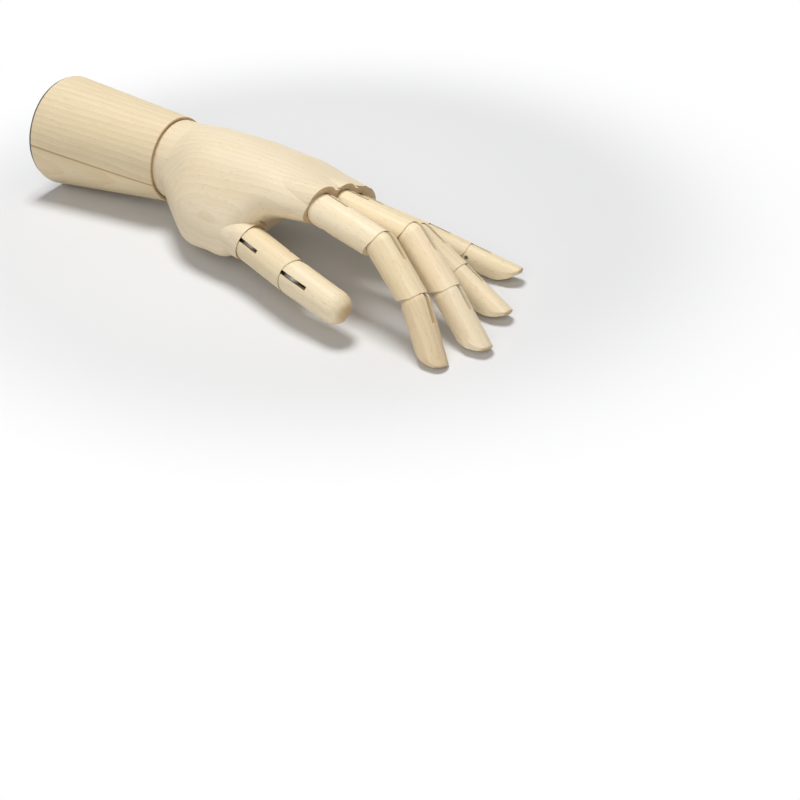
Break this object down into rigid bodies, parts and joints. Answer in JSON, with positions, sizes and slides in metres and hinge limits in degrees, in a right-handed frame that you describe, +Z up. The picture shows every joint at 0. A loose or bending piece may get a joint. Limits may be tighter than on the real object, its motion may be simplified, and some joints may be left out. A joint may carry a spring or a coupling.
{
  "type": "wooden hand mannequin",
  "caption": "Jointed wooden artist's hand mannequin: a tapered forearm, a sprung wrist ball, a carved palm, and pinned fingers and thumb that hold a pose.",
  "frame": {"origin": "on the table, under the middle of the hand's bounding box, with the hand lying palm down", "axes": "+X from the forearm's flat base towards the fingertips, +Z up from the table, +Y towards the little finger's side"},
  "size_m": [0.2873, 0.1022, 0.0605],
  "materials": {
    "beech": "sanded, unvarnished",
    "felt": "pressed felt",
    "spring_wire": "drawn wire",
    "steel_strip": "stamped strip",
    "steel_pin": "cut wire"
  },
  "bodies": {
    "forearm": {"forearm": "beech", "base_pad": "felt"},
    "wrist_spring": {"wrist_spring": "spring_wire", "anchor_pin": "steel_pin"},
    "wrist_link": {"wrist_link": "spring_wire"},
    "palm": {"palm": "beech", "palm_pins": "steel_pin", "wrist_pin": "steel_pin", "index_proximal_link": "steel_strip", "middle_proximal_link": "steel_strip", "ring_proximal_link": "steel_strip", "little_proximal_link": "steel_strip", "thumb_proximal_link": "steel_strip"},
    "index_proximal": {"index_proximal": "beech", "index_proximal_pins": "steel_pin", "index_middle_link": "steel_strip"},
    "index_middle": {"index_middle": "beech", "index_middle_pins": "steel_pin", "index_distal_link": "steel_strip"},
    "index_distal": {"index_distal": "beech", "index_distal_pins": "steel_pin"},
    "middle_proximal": {"middle_proximal": "beech", "middle_proximal_pins": "steel_pin", "middle_middle_link": "steel_strip"},
    "middle_middle": {"middle_middle": "beech", "middle_middle_pins": "steel_pin", "middle_distal_link": "steel_strip"},
    "middle_distal": {"middle_distal": "beech", "middle_distal_pins": "steel_pin"},
    "ring_proximal": {"ring_proximal": "beech", "ring_proximal_pins": "steel_pin", "ring_middle_link": "steel_strip"},
    "ring_middle": {"ring_middle": "beech", "ring_middle_pins": "steel_pin", "ring_distal_link": "steel_strip"},
    "ring_distal": {"ring_distal": "beech", "ring_distal_pins": "steel_pin"},
    "little_proximal": {"little_proximal": "beech", "little_proximal_pins": "steel_pin", "little_middle_link": "steel_strip"},
    "little_middle": {"little_middle": "beech", "little_middle_pins": "steel_pin", "little_distal_link": "steel_strip"},
    "little_distal": {"little_distal": "beech", "little_distal_pins": "steel_pin"},
    "thumb_proximal": {"thumb_proximal": "beech", "thumb_proximal_pins": "steel_pin", "thumb_distal_link": "steel_strip"},
    "thumb_distal": {"thumb_distal": "beech", "thumb_distal_pins": "steel_pin"}
  },
  "joints": [
    {"name": "wrist_twist", "type": "hinge", "parent": "forearm", "child": "wrist_spring", "pos_m": [-0.0525, 0.0193, 0.03], "axis": [1, 0, 0], "range_deg": [-90, 90]},
    {"name": "wrist_deviation", "type": "hinge", "parent": "wrist_spring", "child": "wrist_link", "pos_m": [-0.0525, 0.0193, 0.03], "axis": [0, 0.3256, 0.9455], "range_deg": [-9, 19]},
    {"name": "wrist_flexion", "type": "hinge", "parent": "wrist_link", "child": "palm", "pos_m": [-0.0525, 0.0193, 0.03], "axis": [0.0785, 0.9426, -0.3246], "range_deg": [-12, 20]},
    {"name": "index_knuckle", "type": "hinge", "parent": "palm", "child": "index_proximal", "pos_m": [0.05145, -0.01333, 0.04356], "axis": [0.1719, 0.9314, -0.3207], "range_deg": [-21.1, 48.9]},
    {"name": "index_middle", "type": "hinge", "parent": "index_proximal", "child": "index_middle", "pos_m": [0.08886, -0.02193, 0.03864], "axis": [0.1719, 0.9314, -0.3207], "range_deg": [-32.1, 37.9]},
    {"name": "index_tip", "type": "hinge", "parent": "index_middle", "child": "index_distal", "pos_m": [0.11245, -0.03218, 0.02152], "axis": [0.1719, 0.9314, -0.3207], "range_deg": [-27.6, 42.4]},
    {"name": "middle_knuckle", "type": "hinge", "parent": "palm", "child": "middle_proximal", "pos_m": [0.05206, 0.0027, 0.0391], "axis": [0.1288, 0.9376, -0.3229], "range_deg": [-16.4, 53.6]},
    {"name": "middle_middle", "type": "hinge", "parent": "middle_proximal", "child": "middle_middle", "pos_m": [0.09355, -0.00392, 0.03642], "axis": [0.1288, 0.9376, -0.3229], "range_deg": [-36.9, 33.1]},
    {"name": "middle_tip", "type": "hinge", "parent": "middle_middle", "child": "middle_distal", "pos_m": [0.11818, -0.01357, 0.01824], "axis": [0.1288, 0.9376, -0.3229], "range_deg": [-13.6, 56.4]},
    {"name": "ring_knuckle", "type": "hinge", "parent": "palm", "child": "ring_proximal", "pos_m": [0.04908, 0.01885, 0.02984], "axis": [0.0244, 0.9452, -0.3255], "range_deg": [-17.9, 52.1]},
    {"name": "ring_middle", "type": "hinge", "parent": "ring_proximal", "child": "ring_middle", "pos_m": [0.08562, 0.01636, 0.02533], "axis": [0.0244, 0.9452, -0.3255], "range_deg": [-23.8, 46.2]},
    {"name": "ring_tip", "type": "hinge", "parent": "ring_middle", "child": "ring_distal", "pos_m": [0.10917, 0.01179, 0.01383], "axis": [0.0244, 0.9452, -0.3255], "range_deg": [-10, 60]},
    {"name": "little_knuckle", "type": "hinge", "parent": "palm", "child": "little_proximal", "pos_m": [0.04471, 0.03469, 0.01963], "axis": [-0.1461, 0.9354, -0.3221], "range_deg": [-17.5, 52.5]},
    {"name": "little_middle", "type": "hinge", "parent": "little_proximal", "child": "little_middle", "pos_m": [0.07658, 0.03776, 0.01408], "axis": [-0.1461, 0.9354, -0.3221], "range_deg": [-7.4, 62.6]},
    {"name": "little_tip", "type": "hinge", "parent": "little_middle", "child": "little_distal", "pos_m": [0.09892, 0.03946, 0.0089], "axis": [-0.1461, 0.9354, -0.3221], "range_deg": [-10, 60]},
    {"name": "thumb_base", "type": "hinge", "parent": "palm", "child": "thumb_proximal", "pos_m": [0.01814, -0.02515, 0.02151], "axis": [-0.2575, -0.5564, -0.79], "range_deg": [-40, 20]},
    {"name": "thumb_tip", "type": "hinge", "parent": "thumb_proximal", "child": "thumb_distal", "pos_m": [0.05218, -0.03906, 0.02021], "axis": [-0.2575, -0.5564, -0.79], "range_deg": [-50, 10]}
  ]
}
